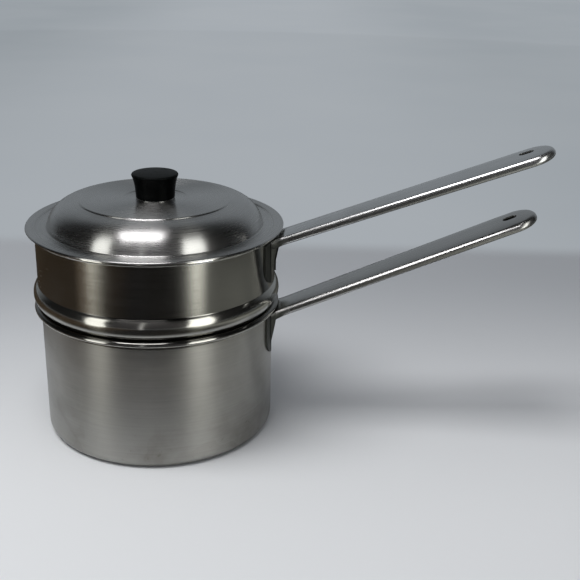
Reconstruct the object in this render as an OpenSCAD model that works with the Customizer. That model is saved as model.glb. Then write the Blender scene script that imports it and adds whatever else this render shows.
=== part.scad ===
// Stainless steel double boiler: a lower pan, an upper pan that hangs in it, and a lid with a knob.
// Millimetres, +Z up. The origin is the middle of the lower pan's flat base. The lower handle points along +X.

/* [Lower pan] */
// outside radius of the lower pan's straight wall
lower_r = 81.8; // [79:0.1:84]
// height of the lower pan from its base to the top of its rim
lower_h = 95.3; // [90:0.1:110]
// how far the lower pan's rolled rim stands out beyond its wall
lower_rim_w = 4.5; // [3.4:0.1:5]
// length of the short skirt where the rolled rim ends, below the middle of the roll
lower_skirt = 1; // [0.5:0.1:1.6]
// radius of the corner between the wall and the base, on both pans
corner_r = 5.6; // [3:0.1:9]

/* [Upper pan] */
// how far the upper pan's straight wall stands outside the lower pan's wall
upper_out = 1.3; // [0.8:0.1:1.8]
// height of the upper pan's rim above the lower pan's rim
upper_rise = 54.3; // [50:0.1:64]
// how far the upper pan's rolled rim stands out beyond its wall
upper_rim_w = 3.1; // [2.8:0.1:3.6]
// gap all round between the upper pan's hidden cup and the lower pan's wall
cup_gap = 1.3; // [0.9:0.1:2.2]
// depth of the hidden cup below the lower pan's rim
cup_depth = 49.3; // [40:0.1:60]
// outside radius of the rounded bead that carries the upper pan, seen in section
bead_arc_r = 9.4; // [9:0.1:10]
// how far the bead stands out beyond the lower pan's rolled rim
bead_out = 0.1; // [0:0.05:0.5]
// angle of the bead's lower cone, from upright, where it sits on the lower rim
seat_angle = 50; // [46:1:56]

/* [Lid] */
// how far the lid's turned edge stands out beyond the upper pan's rolled rim
lid_over = 2.8; // [1.8:0.1:5.8]
// depth of the step that centres the lid inside the upper rim
lid_step = 0.9; // [0.6:0.1:1]
// width of the lid's flange and band, from the turned edge in to the dome
flange_w = 14; // [12.6:0.1:15.6]
// lean of the dome's steep side, from upright
dome_lean = 18; // [12:0.5:20]
// height of the dome's straight side, between its foot and its round shoulder
dome_side_h = 2; // [0.2:0.1:3]
// radius of the dome's shoulder, seen in section
shoulder_r = 19; // [17:0.5:22]
// slope of the lid above the shoulder
top_slope = 10; // [7:0.5:16]
// width of the dome's round side, from the flat band in to the crease round the flat top
dome_w = 22.5; // [20:0.1:25]
// radius of the shallow ring round the knob
ring_r = 22; // [20:0.1:26]
// depth of the shallow ring round the knob
ring_depth = 0.5; // [0.3:0.05:0.7]

/* [Knob] */
// radius of the knob's top
knob_top_r = 16.1; // [15:0.1:18]
// radius of the knob at its foot
knob_foot_r = 13.4; // [12.6:0.1:14.4]
// height of the knob from its foot to the middle of its top
knob_h = 17.8; // [15:0.1:20]
// thickness of the steel collar under the knob
collar_t = 0.6; // [0.4:0.1:1]
// radius of the knob screw's shank and of the thread in the brass bush
screw_r = 2; // [1.8:0.05:2.2]

/* [Handles] */
// reach of a handle's top face, from the line above the pan wall to the end of its nose
handle_l = 194; // [170:1:210]
// half the width of a handle where it leaves the pan
handle_w0 = 12.1; // [11:0.1:13]
// half the width of a handle at its nose
handle_w1 = 15.4; // [14:0.1:17]
// depth of a handle from the crown of its top face to its lower edge
handle_h = 7.1; // [6.5:0.1:8.5]
// radius of the crowned top face, seen in section
crown_r = 44; // [36:1:60]
// angle at which the lower pan's handle rises
lower_tilt = 22.9; // [18:0.1:24]
// angle at which the upper pan's handle rises
upper_tilt = 21.4; // [18:0.1:22.5]
// how far round the upper pan's handle is turned from the lower one
upper_turn = -5.5; // [-30:0.5:30]
// length of the hanging hole
slot_l = 10; // [8:0.1:14]
// width of the hanging hole
slot_w = 6; // [5:0.1:8]

/* [Bracket] */
// half the width of the bracket over its two ears
ear_w = 24.3; // [22:0.1:27]
// half the distance between the side walls where they meet the pan
fold_w = 15; // [14:0.1:16.5]
// how far the side walls stand out from the pan just under the handle
gusset_out = 3.4; // [2.5:0.1:4.5]
// height of the ears' straight sides
ear_side = 16; // [12:0.1:18]
// drop of the side walls' lower ends below the handle's root
gusset_drop = 25; // [22:0.1:26]
// drop of the ears' toes below the handle's root
toe_drop = 32; // [30:0.1:33]

/* [Sheet and fits] */
// thickness of the pans' steel sheet
pan_t = 0.9; // [0.7:0.05:1]
// thickness of the lid's steel sheet
lid_t = 0.8; // [0.6:0.05:0.9]
// thickness of the handles' steel sheet
handle_t = 1.2; // [1:0.05:1.4]
// gap left between parts that lift apart, where they rest on each other
rest_gap = 0.3; // [0.25:0.05:0.4]

/* [Hidden] */
$fn = 96;
bend_step = 9;
over = 60;
root_out = 2.2;
root_r = lower_r + root_out;
lower_drop = 5.4;
upper_drop = 3.75;

// lower pan
lower_mid = lower_r - pan_t / 2;
lower_roll = lower_rim_w / 2;
lower_roll_x = lower_mid + lower_roll;
lower_roll_z = lower_h - lower_roll - pan_t / 2;

// upper pan
upper_h = lower_h + upper_rise;
upper_r = lower_r + upper_out;
upper_mid = upper_r - pan_t / 2;
upper_roll = upper_rim_w / 2;
upper_roll_x = upper_mid + upper_roll;
upper_roll_z = upper_h - upper_roll - pan_t / 2;
cup_mid = lower_r - pan_t - cup_gap - pan_t / 2;
cup_z = lower_h - cup_depth;
bead_r = lower_roll_x + lower_roll + pan_t / 2 + bead_out;
bead_mid = bead_arc_r - pan_t / 2;
bead_x = bead_r - bead_arc_r;
seat_reach = lower_roll + pan_t / 2 + rest_gap + bead_arc_r;
bead_z = lower_roll_z + (seat_reach - cos(seat_angle) * (lower_roll_x - bead_x)) / sin(seat_angle);
crease_bend = 1.5;
bead_top = acos((upper_mid + crease_bend - bead_x) / (bead_mid + crease_bend));
crease_z = bead_z + (bead_mid + crease_bend) * sin(bead_top);
neck_r = 2.5;
neck_u = (bead_x + bead_mid * cos(seat_angle) - cup_mid - neck_r * (1 - cos(seat_angle))) / sin(seat_angle);
neck_z = bead_z - bead_mid * sin(seat_angle) - neck_u * cos(seat_angle) - neck_r * sin(seat_angle);

// lid, measured on the middle of its sheet
lid_r = upper_roll_x + upper_roll + pan_t / 2 + lid_over;
dome_r = lid_r - flange_w;
crease_r = dome_r - dome_w;
lid_play = 1.7;
flange_z = upper_h + rest_gap + lid_t / 2;
band_z = flange_z - lid_step;
step_bend = 0.9;
step_angle = acos(1 - lid_step / (2 * step_bend));
step_x = upper_roll_x - lid_play;
edge_bend = 0.7;
edge_x = lid_r - lid_t / 2 - edge_bend;
base_bend = 1.4;
base_x = dome_r + 0.8;
base_z = band_z + base_bend;
side_h = -(90 - dome_lean);
side_x0 = base_x + base_bend * cos(side_h - 90);
side_z0 = base_z + base_bend * sin(side_h - 90);
side_z1 = side_z0 + dome_side_h;
side_x1 = side_x0 - (side_z1 - side_z0) * tan(dome_lean);
shoulder_x = side_x1 - shoulder_r * cos(dome_lean);
shoulder_z = side_z1 - shoulder_r * sin(dome_lean);
slope_x = shoulder_x + shoulder_r * sin(top_slope);
slope_z = shoulder_z + shoulder_r * cos(top_slope);
crease_turn = 60;
foot_x = crease_r + 0.6;
foot_z = slope_z + (slope_x - foot_x) * tan(top_slope);
foot_cx = foot_x + step_bend * sin(top_slope);
foot_cz = foot_z + step_bend * cos(top_slope);
brow_x = foot_cx - 2 * step_bend * sin(crease_turn);
brow_z = foot_cz - 2 * step_bend * cos(crease_turn);
top_z = brow_z + step_bend;
ring_bend = 1.6;
ring_angle = acos(1 - ring_depth / (2 * ring_bend));
knob_seat_z = top_z - ring_depth;
screw_hole_r = screw_r + 0.4;

// knob and its fixings
collar_z = knob_seat_z + lid_t / 2;
collar_r = knob_foot_r - 0.7;
knob_z = collar_z + collar_t;
bush_r = 3.5;
bush_h = 10;
screw_end = knob_z + 7.5;
washer_r = 6.2;
washer_t = 0.9;
washer_z = knob_seat_z - lid_t / 2 - washer_t;
lock_r = 3.9;
lock_t = 1.1;
lock_z = washer_z - lock_t;
head_r = 4.1;
head_h = 2.5;
head_z = lock_z - head_h;

// handles
mid_t = handle_t / 2;
crown_mid = crown_r - mid_t;
top_bend = 1.6;
nose_bend = 3.2;
lip_bend = 1.7;
lip_l = 2.4;
nose_s = handle_l - handle_w1;
widen = handle_w1 - handle_w0;
taper = asin(widen / nose_s);
slot_s = nose_s - 2.5;
lower_root_z = lower_h - lower_drop;
upper_root_z = upper_h - upper_drop;
neck_x = root_r + 8;
neck_play = 0.4;
wall_lap = 2.6;
wall_low = handle_h - 0.7;

// Sheet bent along a path. Each bend is [centre x, centre y, middle radius, heading in, heading out].
// An end of the sheet is a bend of no radius. The right-hand side of the path lies at +d.
function turn(e) = e[4] >= e[3] ? 1 : -1;
function steps(e) = e[4] == e[3] ? 0 : max(3, ceil(abs(e[4] - e[3]) / bend_step));
function bend(e, d) = [for (i = [0:steps(e)])
  let(a = e[3] + (e[4] - e[3]) * i / max(1, steps(e)) - 90 * turn(e))
  [e[0] + (e[2] + d * turn(e)) * cos(a), e[1] + (e[2] + d * turn(e)) * sin(a)]];
function side(path, d) = [for (e = path) each bend(e, d)];
function back(list) = [for (i = [len(list) - 1:-1:0]) list[i]];

module sheet(path, t) {
  polygon(concat(side(path, t / 2), back(side(path, -t / 2))));
}

module lower_pan() {
  color([0.74, 0.75, 0.76])
    rotate_extrude()
      sheet([
        [0, pan_t / 2, 0, 0, 0],
        [lower_mid - corner_r, pan_t / 2 + corner_r, corner_r, 0, 90],
        [lower_roll_x, lower_roll_z, lower_roll, 90, -90],
        [lower_roll_x + lower_roll, lower_roll_z - lower_skirt, 0, -90, -90]
      ], pan_t);
}

module upper_pan() {
  color([0.76, 0.77, 0.78])
    rotate_extrude()
      sheet([
        [0, cup_z + pan_t / 2, 0, 0, 0],
        [cup_mid - corner_r, cup_z + pan_t / 2 + corner_r, corner_r, 0, 90],
        [cup_mid + neck_r, neck_z, neck_r, 90, 90 - seat_angle],
        [bead_x, bead_z, bead_mid, 90 - seat_angle, 90 + bead_top],
        [upper_mid + crease_bend, crease_z, crease_bend, 90 + bead_top, 90],
        [upper_roll_x, upper_roll_z, upper_roll, 90, -90],
        [upper_roll_x + upper_roll, upper_roll_z - 0.4, 0, -90, -90]
      ], pan_t);
}

module lid() {
  step_in = step_bend * sin(step_angle);
  ring_in = ring_bend * sin(ring_angle);
  color([0.78, 0.79, 0.8])
    rotate_extrude()
      sheet([
        [screw_hole_r, knob_seat_z, 0, 0, 0],
        [ring_r - ring_in, knob_seat_z + ring_bend, ring_bend, 0, ring_angle],
        [ring_r + ring_in, top_z - ring_bend, ring_bend, ring_angle, 0],
        [brow_x, brow_z, step_bend, 0, -crease_turn],
        [foot_cx, foot_cz, step_bend, -crease_turn, -top_slope],
        [shoulder_x, shoulder_z, shoulder_r, -top_slope, side_h],
        [base_x, base_z, base_bend, side_h, 0],
        [step_x - step_in, band_z + step_bend, step_bend, 0, step_angle],
        [step_x + step_in, flange_z - step_bend, step_bend, step_angle, 0],
        [edge_x, flange_z - edge_bend, edge_bend, 0, -80]
      ], lid_t);
}

// The knob's side is a hollow curve that runs from its foot out to the rounded edge of its top.
function flank(n) = [for (i = [0:n])
  let(u = i / n)
  [knob_foot_r + (knob_top_r - knob_foot_r) * (0.25 * u + 0.75 * u * u * u), knob_z + (knob_h - 2) * u]];

module knob() {
  edge_r = 1.3;
  top_edge_z = knob_z + knob_h - 0.7;
  color([0.06, 0.06, 0.065])
    difference() {
      rotate_extrude()
        polygon(concat(
          [[0, knob_z], [knob_foot_r - 0.5, knob_z]],
          [for (p = flank(10)) if (p[1] > knob_z + 0.4) p],
          [for (a = [10:10:90]) [knob_top_r - edge_r + edge_r * cos(a), top_edge_z - edge_r + edge_r * sin(a)]],
          [[knob_top_r * 0.55, top_edge_z + 0.45], [0, knob_z + knob_h]]
        ));
      translate([0, 0, knob_z - 1]) cylinder(r = bush_r, h = bush_h + 1);
      rotate_extrude() polygon([
        [bush_r + 3, knob_z - 1], [bush_r + 3, knob_z + 5.5], [knob_foot_r - 3.2, knob_z + 5.5],
        [knob_foot_r - 2.6, knob_z - 1]
      ]);
    }
}

module knob_bush() {
  color([0.78, 0.62, 0.3])
    difference() {
      translate([0, 0, knob_z]) cylinder(r = bush_r, h = bush_h);
      translate([0, 0, knob_z - 1]) cylinder(r = screw_r, h = bush_h);
    }
}

module knob_collar() {
  color([0.8, 0.8, 0.81])
    difference() {
      translate([0, 0, collar_z]) cylinder(r = collar_r, h = collar_t);
      translate([0, 0, collar_z - 1]) cylinder(r = screw_hole_r, h = collar_t + 2);
    }
}

module knob_screw() {
  color([0.7, 0.7, 0.71])
    difference() {
      union() {
        rotate_extrude() polygon(concat(
          [[0, head_z + head_h], [0, head_z]],
          [for (a = [-60:10:0]) [head_r - 1.6 + 1.6 * cos(a), head_z + 1.4 + 1.6 * sin(a)]],
          [[head_r, head_z + head_h]]
        ));
        translate([0, 0, head_z + 1]) cylinder(r = screw_r, h = screw_end - head_z - 1);
      }
      translate([-5, -0.55, head_z - 1]) cube([10, 1.1, 2.2]);
    }
}

module screw_washer() {
  color([0.72, 0.72, 0.73])
    difference() {
      translate([0, 0, washer_z]) cylinder(r = washer_r, h = washer_t);
      translate([0, 0, washer_z - 1]) cylinder(r = screw_hole_r, h = washer_t + 2);
    }
}

module lock_washer() {
  color([0.6, 0.6, 0.62])
    difference() {
      translate([0, 0, lock_z]) cylinder(r = lock_r, h = lock_t);
      translate([0, 0, lock_z - 1]) cylinder(r = screw_r + 0.15, h = lock_t + 2);
      translate([0, -0.4, lock_z - 1]) rotate([20, 0, 0]) cube([5, 0.8, lock_t + 3]);
    }
}

// Half of the handle's section: crowned top, bend, side, and a lip turned in along its lower edge.
function lean(w, r) = asin((w - r - mid_t) / (crown_mid - r));
function half_section(inner, shift, w, r) = [
  [inner, -mid_t, 0, 0, 0],
  [shift, -mid_t - crown_mid, crown_mid, 0, -lean(w, r)],
  [shift + (crown_mid - r) * sin(lean(w, r)), -mid_t - crown_mid + (crown_mid - r) * cos(lean(w, r)),
    r, -lean(w, r), -90],
  [shift + w - mid_t - lip_bend, -handle_h + mid_t + lip_bend, lip_bend, -90, -180],
  [shift + w - mid_t - lip_bend - lip_l, -handle_h + mid_t, 0, -180, -180]
];

module channel_half() {
  intersection() {
    rotate([0, 0, taper])
      translate([-12, 0, 0])
        rotate([90, 0, 90])
          linear_extrude(height = nose_s + 24)
            sheet(half_section(-8, 0, handle_w0, top_bend), handle_t);
    translate([-14, -0.4, -handle_h - 4]) cube([nose_s + 14.4, handle_w1 + 6, handle_h + 8]);
  }
}

module nose() {
  translate([nose_s, 0, 0])
    rotate([0, 0, -90])
      rotate_extrude(angle = 180)
        sheet(half_section(0, widen, handle_w0, nose_bend), handle_t);
}

module slot_cut() {
  translate([slot_s, 0, -6])
    linear_extrude(height = 10)
      union() {
        translate([-(slot_l - slot_w) / 2, 0]) circle(d = slot_w);
        translate([(slot_l - slot_w) / 2, 0]) circle(d = slot_w);
        square([slot_l - slot_w, slot_w], center = true);
      }
}

// One side of the bracket: a side wall that tapers away down the pan, and an ear that lies flat on the pan.
module side_wall(wall_r, root_z, tilt) {
  run = [neck_x - wall_r, handle_w0 + neck_play - fold_w];
  flat = [-run[1], run[0]] * mid_t / norm(run);
  a = [wall_r - 1, fold_w - run[1] / run[0]];
  b = [neck_x, handle_w0 + neck_play - mid_t];
  intersection() {
    translate([0, 0, root_z - gusset_drop - 2])
      linear_extrude(height = gusset_drop + 10)
        polygon([a + flat, b + flat, b - flat, a - flat]);
    translate([0, 40, root_z])
      rotate([90, 0, 0])
        linear_extrude(height = 80)
          polygon(concat(
            [[wall_r - 2, -gusset_drop], [wall_r - 2, (wall_r - 2 - root_r) * tan(tilt) - wall_lap],
              [neck_x - 2, (neck_x - 2 - root_r) * tan(tilt) - wall_lap],
              [neck_x - 2, (neck_x - 2 - root_r) * tan(tilt) - wall_low]],
            [for (i = [0:12]) let(u = i / 12)
              [wall_r + gusset_out * (1 - pow(u, 1.1)), -wall_low - 0.4 - (gusset_drop - wall_low - 0.4) * u]]
          ));
  }
}

module ear(wall_r, root_z) {
  top = root_z - 1.5;
  low = top - ear_side;
  toe = root_z - toe_drop;
  intersection() {
    difference() {
      translate([0, 0, toe - 2]) cylinder(r = wall_r + handle_t, h = toe_drop + 4);
      translate([0, 0, toe - 3]) cylinder(r = wall_r, h = toe_drop + 6);
    }
    rotate([90, 0, 90])
      linear_extrude(height = wall_r + 10)
        polygon(concat(
          [[fold_w - 0.8, top], [ear_w - 2, top]],
          [for (a = [60:-30:0]) [ear_w - 2 + 2 * cos(a), top - 2 + 2 * sin(a)]],
          [for (u = [0:0.125:1])
            [ear_w - (ear_w - 12.4) * pow(u, 1.8), low + (toe - low) * (0.35 * u + 0.65 * sin(90 * u))]],
          [[11.4, toe + 0.7], [11.4, root_z - gusset_drop + 0.5], [fold_w - 0.8, root_z - gusset_drop + 2.5]]
        ));
  }
}

module handle(wall_r, root_z, tilt) {
  difference() {
    translate([root_r, 0, root_z])
      rotate([0, -tilt, 0])
        difference() {
          union() {
            channel_half();
            mirror([0, 1, 0]) channel_half();
            nose();
          }
          slot_cut();
        }
    translate([0, 0, root_z - over]) cylinder(r = wall_r, h = 2 * over);
  }
  difference() {
    union() {
      side_wall(wall_r, root_z, tilt);
      mirror([0, 1, 0]) side_wall(wall_r, root_z, tilt);
    }
    translate([0, 0, root_z - over]) cylinder(r = wall_r, h = 2 * over);
  }
  ear(wall_r, root_z);
  mirror([0, 1, 0]) ear(wall_r, root_z);
}

module lower_handle() {
  color([0.7, 0.71, 0.72]) handle(lower_r, lower_root_z, lower_tilt);
}

module upper_handle() {
  color([0.71, 0.72, 0.73]) rotate([0, 0, upper_turn]) handle(upper_r, upper_root_z, upper_tilt);
}

lower_pan();
lower_handle();
upper_pan();
upper_handle();
lid();
knob();
knob_bush();
knob_collar();
knob_screw();
screw_washer();
lock_washer();
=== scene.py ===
"""Dresses a stainless steel double boiler: lower pan, upper pan, lid, knob and two stamped handles."""
import logging
import math
from collections.abc import Callable
from dataclasses import dataclass, field
from enum import Enum

import bmesh
import bpy
from mathutils import Matrix, Vector


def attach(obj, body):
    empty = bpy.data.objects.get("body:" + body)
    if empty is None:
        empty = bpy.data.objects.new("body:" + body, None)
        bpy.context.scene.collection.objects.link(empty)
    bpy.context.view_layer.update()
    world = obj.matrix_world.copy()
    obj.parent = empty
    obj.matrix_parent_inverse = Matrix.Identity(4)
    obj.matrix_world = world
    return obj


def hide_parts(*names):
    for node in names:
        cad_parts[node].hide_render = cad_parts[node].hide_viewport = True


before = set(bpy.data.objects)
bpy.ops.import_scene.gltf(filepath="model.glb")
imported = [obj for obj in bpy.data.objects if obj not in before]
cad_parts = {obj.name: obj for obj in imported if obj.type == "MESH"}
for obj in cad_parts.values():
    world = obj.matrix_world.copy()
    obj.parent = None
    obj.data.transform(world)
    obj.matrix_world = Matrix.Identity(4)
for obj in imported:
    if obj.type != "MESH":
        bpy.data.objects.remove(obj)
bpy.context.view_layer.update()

log = logging.getLogger("double_boiler")
Point = tuple[float, float]
Place = tuple[float, float, float]
Colour = tuple[float, float, float]
Bender = Callable[[float, float, float], Vector]
LOWER_HANDLE_GROUP = "low_handle"


class Body(Enum):
    """The rigid bodies that the pieces move with."""

    LOWER = "lower"
    INSERT = "insert"
    COVER = "cover"


class Grain(Enum):
    """Which way the polishing lines of a steel finish run."""

    ROUND = "round the pan's axis"
    ALONG = "along the handle"


# Shader graphs


class Value:
    """A socket of a shader graph that can be used in arithmetic."""

    def __init__(self, graph: "Graph", socket: bpy.types.NodeSocket) -> None:
        """Wraps one output socket.

        Args:
            graph: The graph that the socket is in.
            socket: The output socket.
        """
        self.graph = graph
        self.socket = socket

    def _math(self, operation: str, first: object, second: object) -> "Value":
        """Adds one Math node and returns its result."""
        return self.graph.node("ShaderNodeMath", {"operation": operation}, {0: first, 1: second})

    def __add__(self, other: object) -> "Value":
        """Adds a number or a value."""
        return self._math("ADD", self, other)

    def __radd__(self, other: object) -> "Value":
        """Adds to a number."""
        return self._math("ADD", other, self)

    def __sub__(self, other: object) -> "Value":
        """Takes away a number or a value."""
        return self._math("SUBTRACT", self, other)

    def __rsub__(self, other: object) -> "Value":
        """Takes this value from a number."""
        return self._math("SUBTRACT", other, self)

    def __mul__(self, other: object) -> "Value":
        """Multiplies by a number or a value."""
        return self._math("MULTIPLY", self, other)

    def __rmul__(self, other: object) -> "Value":
        """Multiplies a number."""
        return self._math("MULTIPLY", other, self)

    def __truediv__(self, other: object) -> "Value":
        """Divides by a number or a value."""
        return self._math("DIVIDE", self, other)

    def __pow__(self, other: object) -> "Value":
        """Raises to a power."""
        return self._math("POWER", self, other)

    def lower_of(self, other: object) -> "Value":
        """Returns the smaller of this and another value."""
        return self._math("MINIMUM", self, other)

    def ease(self, low: float, high: float) -> "Value":
        """Rises smoothly from 0 at low to 1 at high.

        Args:
            low: Where the result is still 0.
            high: Where the result reaches 1.

        Returns:
            The eased value.
        """
        return self.graph.node(
            "ShaderNodeMapRange", {"interpolation_type": "SMOOTHSTEP"}, {"Value": self, 1: low, 2: high}
        )


class Graph:
    """The node graph of one material, or of the world."""

    def __init__(self, owner: bpy.types.Material | bpy.types.World) -> None:
        """Starts with an empty graph.

        Args:
            owner: What the graph is for.
        """
        owner.use_nodes = True
        self.owner = owner
        self.tree = owner.node_tree
        self.tree.nodes.clear()

    @classmethod
    def of_material(cls, name: str) -> "Graph":
        """Starts a new material."""
        return cls(bpy.data.materials.new(name))

    def node(
        self, kind: str, settings: dict | None = None, inputs: dict | None = None, out: int | str = 0
    ) -> Value:
        """Adds one node.

        Args:
            kind: The node's type name.
            settings: Its own settings, set first.
            inputs: Values or links by socket name or number.
            out: The output that the result wraps.

        Returns:
            The chosen output.
        """
        made = self.tree.nodes.new(kind)
        for key, value in (settings or {}).items():
            setattr(made, key, value)
        for key, value in (inputs or {}).items():
            if isinstance(value, Value):
                self.tree.links.new(value.socket, made.inputs[key])
            elif value is not None:
                made.inputs[key].default_value = value
        return Value(self, made.outputs[out])

    def place(self) -> Value:
        """Returns the object's own coordinates, in metres."""
        return self.node("ShaderNodeTexCoord", out="Object")

    def split(self, vector: Value) -> tuple[Value, Value, Value]:
        """Splits a vector into its three numbers.

        Args:
            vector: A link to a vector.

        Returns:
            Its X, Y and Z.
        """
        first = self.node("ShaderNodeSeparateXYZ", {}, {0: vector})
        outputs = first.socket.node.outputs
        return first, Value(self, outputs[1]), Value(self, outputs[2])

    def join(self, x: object, y: object, z: object) -> Value:
        """Makes a vector of three numbers."""
        return self.node("ShaderNodeCombineXYZ", {}, {0: x, 1: y, 2: z})

    def noise(self, vector: Value, scale: float, detail: float = 3.0, rough: float = 0.55) -> Value:
        """Adds a three-way noise.

        Args:
            vector: Where the noise is read.
            scale: Its scale, per metre.
            detail: How many finer layers it has.
            rough: How strong the finer layers are.

        Returns:
            The noise, about 0.5 on average.
        """
        return self.node(
            "ShaderNodeTexNoise", {}, {"Vector": vector, "Scale": scale, "Detail": detail, "Roughness": rough}
        )

    def blend(self, amount: Value, first: object, second: object) -> Value:
        """Mixes two colours.

        Args:
            amount: 0 gives the first colour and 1 the second.
            first: A colour or a link.
            second: A colour or a link.

        Returns:
            The mixed colour.
        """
        as_colour = [c if isinstance(c, Value) else (*c, 1.0) for c in (first, second)]
        return self.node(
            "ShaderNodeMix", {"data_type": "RGBA"}, {0: amount, 6: as_colour[0], 7: as_colour[1]}, out=2
        )

    def scale(self, colour: Value, share: Value) -> Value:
        """Makes a colour brighter or darker."""
        return self.node("ShaderNodeVectorMath", {"operation": "SCALE"}, {"Vector": colour, "Scale": share})

    def turn(self, vector: Value, axis: str, angle: float) -> Value:
        """Turns a vector round one axis by an angle in radians."""
        kind = {"rotation_type": f"{axis}_AXIS"}
        return self.node("ShaderNodeVectorRotate", kind, {"Vector": vector, "Angle": angle})

    def bump(self, height: Value, distance: float, strength: float = 1.0, base: Value | None = None) -> Value:
        """Adds a bump.

        Args:
            height: Its height, 0 to 1.
            distance: Its depth in metres.
            strength: How much of it is used.
            base: A wider bump that it lies on.

        Returns:
            The normal.
        """
        sockets = {"Strength": strength, "Distance": distance, "Height": height, "Normal": base}
        return self.node("ShaderNodeBump", {}, sockets, out="Normal")

    def end(self, kind: str, surface: Value) -> None:
        """Links a surface to an output node of the given type."""
        output = self.tree.nodes.new(kind)
        self.tree.links.new(surface.socket, output.inputs["Surface"])

    def finish(self, sockets: dict) -> bpy.types.Material:
        """Ends a material's graph with one surface shader.

        Args:
            sockets: The shader's values and links by socket name.

        Returns:
            The material.
        """
        self.end("ShaderNodeOutputMaterial", self.node("ShaderNodeBsdfPrincipled", {}, sockets))
        return self.owner


# Finishes


@dataclass(frozen=True)
class ChannelShade:
    """The underside of a channel: unpolished, so rougher, and darkened with painted shade. Its coordinates
    run along the channel.
    """

    start: float
    top: float
    nose: float
    half_w0: float
    half_w1: float
    crown: float
    sheet: float
    # The underside's tone is painted shade; its extra roughness is the unpolished steel.
    tone: Colour = (0.05, 0.05, 0.048)
    rough: float = 0.3

    def mask(self, g: Graph, place: Value) -> Value:
        """Finds the underside.

        Args:
            g: The material's graph.
            place: Coordinates whose X runs along the channel.

        Returns:
            1 on the underside and 0 on the outer faces.
        """
        x, y, z = g.split(place)
        run = x - self.start
        past = run - self.nose
        past = past * past.ease(0.0, 0.0001)
        reach = (y * y + past * past) ** 0.5
        half = self.half_w0 + run * ((self.half_w1 - self.half_w0) / self.nose)
        half = half.lower_of(self.half_w1)
        sunk = self.top - z - reach * reach * (0.5 / self.crown)
        inward = (half - reach).ease(self.sheet * 0.35, self.sheet * 0.8)
        return inward * sunk.ease(self.sheet * 0.3, self.sheet * 0.7)


@dataclass(frozen=True)
class Band:
    """A change of tone and of roughness from one height to another, all round or only in front."""

    low: float
    high: float
    tone: float = 1.0
    rough: float = 1.0
    front: float = 0.0

    def share(self, g: Graph) -> Value:
        """Returns how far the change has come: 0 below the band and 1 above it.

        Args:
            g: The material's graph.

        Returns:
            How far the change has come.
        """
        _, depth, height = g.split(g.place())
        share = height.ease(self.low, self.high)
        if self.front:
            share = share * (1.0 - depth.ease(-self.front - 0.005, -self.front + 0.005))
        return share


@dataclass(frozen=True)
class BracketShade:
    """Painted shade on a bracket, below the handle's top face and on its ears, with a painted shadow line in
    the fold between its walls and ears.
    """

    root_r: float
    root_z: float
    tilt: float
    turn: float
    wall_r: float
    fold_w: float
    sheet: float
    # The bracket's tone is painted shade, and the fold's tone is a painted shadow line.
    tone: Colour = (0.085, 0.088, 0.08)
    fold_shadow_tone: Colour = (0.004, 0.004, 0.004)
    rough: float = 0.26

    def masks(self, g: Graph) -> tuple[Value, Value]:
        """Finds the bracket's painted shade and the painted shadow line in its fold.

        Args:
            g: The material's graph.

        Returns:
            The mask of the painted shade on the bracket below the handle's top face and on its ears, and that
            of the painted shadow line in the fold.
        """
        x, y, z = g.split(g.place())
        cos, sin = math.cos(self.turn), math.sin(self.turn)
        out = x * cos + y * sin - self.root_r
        across = ((y * cos - x * sin) ** 2.0) ** 0.5
        under = out * math.tan(self.tilt) + self.root_z - z
        radius = (x * x + y * y) ** 0.5
        body = under.ease(0.0014, 0.0040) * (1.0 - out.ease(0.0040, 0.0120))
        flat = 1.0 - radius.ease(self.wall_r + self.sheet + 0.0001, self.wall_r + self.sheet + 0.0004)
        fold = across.ease(self.fold_w - 0.0002, self.fold_w)
        fold = fold * (1.0 - across.ease(self.fold_w + 0.0012, self.fold_w + 0.0022))
        ear = flat * across.ease(self.fold_w - 0.0010, self.fold_w)
        return 1.0 - (1.0 - body) * (1.0 - ear), flat * fold


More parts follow.
